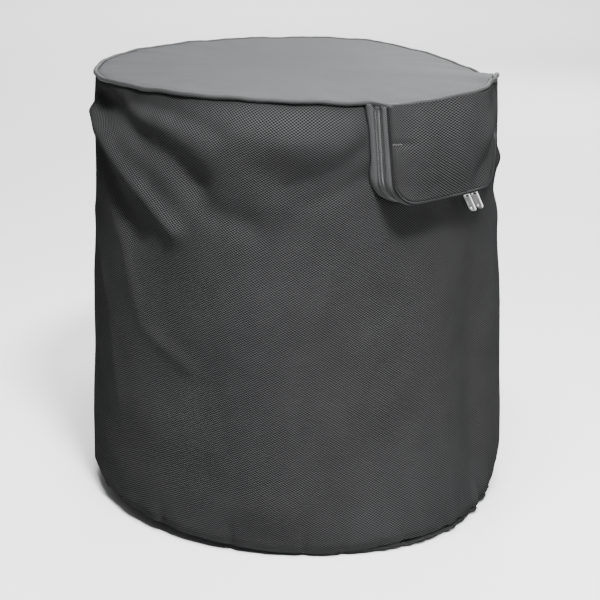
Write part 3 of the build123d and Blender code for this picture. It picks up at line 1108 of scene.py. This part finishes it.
def sewing_thread(name, offset):
    """A thin thread that dips between the turns."""

    def place(s, t):
        run = 3 * MM + s * (HOOD_RUN - 6 * MM)
        x, z, out_x, out_z = hood_outline(run)
        turn = 2 * math.pi * t
        dips = 0.16 * MM * np.cos(2 * math.pi * run / COIL_STEP)
        rise = 1.12 * MM + dips + THREAD_R * np.sin(turn)
        middle = zip_radius(z) + offset + THREAD_R * np.cos(turn)
        return hood_place(x + out_x * rise, z + out_z * rise, 0.5, middle)

    thread = sheet_from_grid(name, (920, 5), place, (HOOD_RUN, 0.0016), True, zip_tape_weave)
    face_outwards(thread, INSIDE_HOOD)
    return thread


for name, offset in (("thread_inner_edge", -2.3), ("thread_inner_mid", -1.3)):
    finish_piece(sewing_thread(name, offset * MM), "cover", "zip_tape")
for name, offset in (("thread_outer_mid", 1.3), ("thread_outer_edge", 2.3)):
    bend_with_flap(sewing_thread(name, offset * MM), "zip_tape")

# %% [markdown]
# ## Metal, stops and inside tapes
# The sliders, bridges and pull tabs of the CAD have the right shape and get bright nickel.
# The stops at the zip's ends are nylon. The tapes inside the seams follow the soft wall.

# %% Metal parts of the CAD
METAL = ["slider_body_left", "slider_body_right", "slider_bridge_left", "slider_bridge_right"]
METAL += ["pull_tab_left", "pull_tab_right"]
for node in METAL:
    nodes[node].data.materials.clear()
    nodes[node].data.materials.append(bright_nickel)
print("repainted CAD nodes:", len(METAL))


# %% Stops at the ends of the zip
STOP_SIZE = (2.1 * MM, 2.9 * MM, 2.6 * MM)
STOP_AT = 2.4 * MM
STOP_ROUND = 0.5 * MM


def zip_stops(name, side):
    """Two small moulded blocks that end one row of the coil."""
    blocks = []
    for run in (STOP_AT, HOOD_RUN - STOP_AT):
        x, z, out_x, out_z = (float(v) for v in hood_outline(run))
        base = hood_place(np.array([x]), np.array([z]), np.array([0.5]))[0]
        middle = base + np.array([out_x * 0.6 * MM, -side * 1.65 * MM, out_z * 0.6 * MM])
        bpy.ops.mesh.primitive_cube_add(size=1, location=middle)
        blocks.append(bpy.context.object)
        blocks[-1].scale = STOP_SIZE
        bpy.ops.object.transform_apply(location=True, rotation=True, scale=True)
    stops = blocks[0]
    stops.name = name
    stops.data.name = name
    for block in blocks:
        block.select_set(True)
    bpy.context.view_layer.objects.active = stops
    bpy.ops.object.join()
    bpy.ops.object.mode_set(mode="EDIT")
    bpy.ops.mesh.select_all(action="SELECT")
    bpy.ops.mesh.bevel(offset=STOP_ROUND, segments=2, affect="EDGES")
    bpy.ops.object.mode_set(mode="OBJECT")
    stops.data.materials.clear()
    stops.data.materials.append(coil_nylon)
    return stops


stops_inner = zip_stops("stops_inner", -1)
finish_piece(stops_inner, "cover", "zip_coil", "zip_stops_fixed")
stops_outer = zip_stops("stops_outer", 1)
bend_with_flap(stops_outer, "zip_coil", "zip_stops_flap")


# %% The stitched dart at the front's left edge
DART_HEIGHT = 0.441
DART_R = 0.5 * MM


def dart_place(s, t):
    """A short bar of stitches that waves a little along its length."""
    x = (-87 + 10 * s) * MM
    z = DART_HEIGHT + 0.5 * MM * np.sin(8 * math.pi * s) + DART_R * np.sin(2 * math.pi * t)
    radius = front_soft(x, z) + 0.2 * MM + DART_R * np.cos(2 * math.pi * t)
    return hood_place(x, z, 1.0, radius)


front_dart = sheet_from_grid("front_dart", (60, 8), dart_place, (0.01, 0.003), True, seam_tape)
face_outwards(front_dart, Vector((-0.082, -0.2, DART_HEIGHT)))
finish_piece(front_dart, "flap", "binding", "flap_dart_tack")


# %% Tapes inside the seams
SEAM_TAPE_THICK = 0.8 * MM


def inside_tape(name, degrees, heights, cells, node):
    """A tape on the wall's inner face, between two angles and two heights."""

    def place(s, t):
        at = degrees[0] + (degrees[1] - degrees[0]) * s
        z = heights[0] + (heights[1] - heights[0]) * t
        return around(at, wall_radius(at, z) - 2.2 * MM, hang(at, z))

    wide = math.radians(degrees[1] - degrees[0]) * TOP_R
    tall = heights[1] - heights[0]
    tape = sheet_from_grid(name, cells, place, (wide, tall), material=seam_tape)
    thicken(tape, SEAM_TAPE_THICK, 0)
    finish_piece(tape, "cover", "binding", node)


inside_tape("top_seam_tape", (24.5, 335.5), (0.465, 0.4765), (360, 4), "top_seam_binding")
inside_tape("back_seam_tape", (177.3, 182.7), (0.03, 0.462), (8, 120), "back_seam_binding")


# %% Tapes inside the hood
def header_place(s, t):
    x = (2 * s - 1) * 83 * MM
    z = 0.4705 + 9.5 * MM * t
    return hood_place(x, z, 1.0, front_radius(z) - 3.4 * MM)


hood_header_tape = sheet_from_grid(
    "hood_header_tape", (60, 4), header_place, (0.17, 0.0095), material=seam_tape
)
thicken(hood_header_tape, SEAM_TAPE_THICK, 0)
finish_piece(hood_header_tape, "cover", "binding", "hood_header")


def inner_binding(s, t):
    x, z, out_x, out_z = hood_outline(s * HOOD_RUN)
    radius = front_radius(z) - 10.2 * MM + 7.8 * MM * t
    depth = 0.5 + (radius - zip_radius(z)) / (front_radius(z) - straight_wall(z))
    return hood_place(x - out_x * 2.2 * MM, z - out_z * 2.2 * MM, depth, radius)


flap_edge_tape = sheet_from_grid(
    "flap_edge_tape", (180, 4), inner_binding, (HOOD_RUN, 0.0065), material=seam_tape
)
thicken(flap_edge_tape, SEAM_TAPE_THICK, 0)
bend_with_flap(flap_edge_tape, "binding", "flap_seam_binding")
